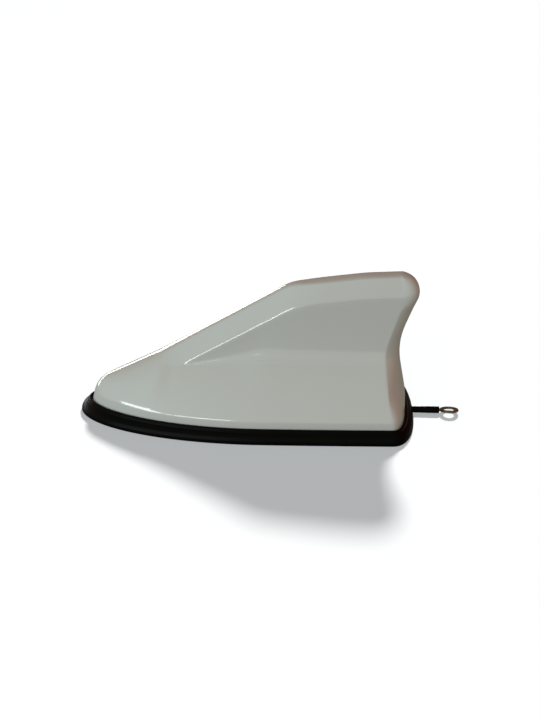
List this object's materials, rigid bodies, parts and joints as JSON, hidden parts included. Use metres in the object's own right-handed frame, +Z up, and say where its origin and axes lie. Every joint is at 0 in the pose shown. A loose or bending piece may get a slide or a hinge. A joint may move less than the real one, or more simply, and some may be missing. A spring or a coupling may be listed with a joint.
{
  "type": "shark fin aerial",
  "caption": "Fin-shaped roof aerial: glossy moulded cover on a rubber gasket, with a base plate, an inner board with radiator and coil, and a lead that ends in a ring terminal.",
  "frame": {"origin": "centre of the gasket's footprint, on the roof surface under it", "axes": "+Z up from the roof, +X towards the rear of the car, the nose of the fin towards -X"},
  "size_m": [0.1876, 0.076, 0.0732],
  "materials": {
    "cover_plastic": "glossy white moulding",
    "gasket_rubber": "soft sheen black rubber",
    "base_plastic": "fine textured black plastic",
    "pad_foam": "closed-cell foam tape",
    "liner_film": "smooth release film",
    "screw_steel": "zinc-plated steel",
    "board_laminate": "solder mask over laminate",
    "carrier_plastic": "natural plastic",
    "radiator_tinplate": "tinplate sheet",
    "former_plastic": "dark moulded plastic",
    "coil_copper": "enamelled copper wire",
    "can_tinplate": "folded tinplate",
    "chip_body": "moulded package",
    "choke_ferrite": "sintered ferrite",
    "capacitor_ceramic": "fired ceramic",
    "resistor_body": "coated ceramic",
    "clip_metal": "tinned spring steel",
    "lead_jacket": "soft black jacket",
    "sleeve_film": "shrunk black tube",
    "terminal_tin": "dull tin plating",
    "block_foam": "open-cell foam"
  },
  "bodies": {
    "root": {"cover": "cover_plastic", "gasket": "gasket_rubber", "base_plate": "base_plastic", "adhesive_pad": "pad_foam", "release_liner": "liner_film", "base_screws": "screw_steel", "circuit_board": "board_laminate", "board_screws": "screw_steel", "radiator_carrier": "carrier_plastic", "carrier_screws": "screw_steel", "radiator_plate": "radiator_tinplate", "coil_former": "former_plastic", "loading_coil": "coil_copper", "shield_can": "can_tinplate", "amplifier_transistor": "chip_body", "ferrite_choke": "choke_ferrite", "capacitors": "capacitor_ceramic", "resistors": "resistor_body", "lead_clip": "clip_metal", "lead": "lead_jacket", "lead_sleeve": "sleeve_film", "ring_terminal": "terminal_tin", "anti_rattle_foam": "block_foam"}
  },
  "joints": []
}
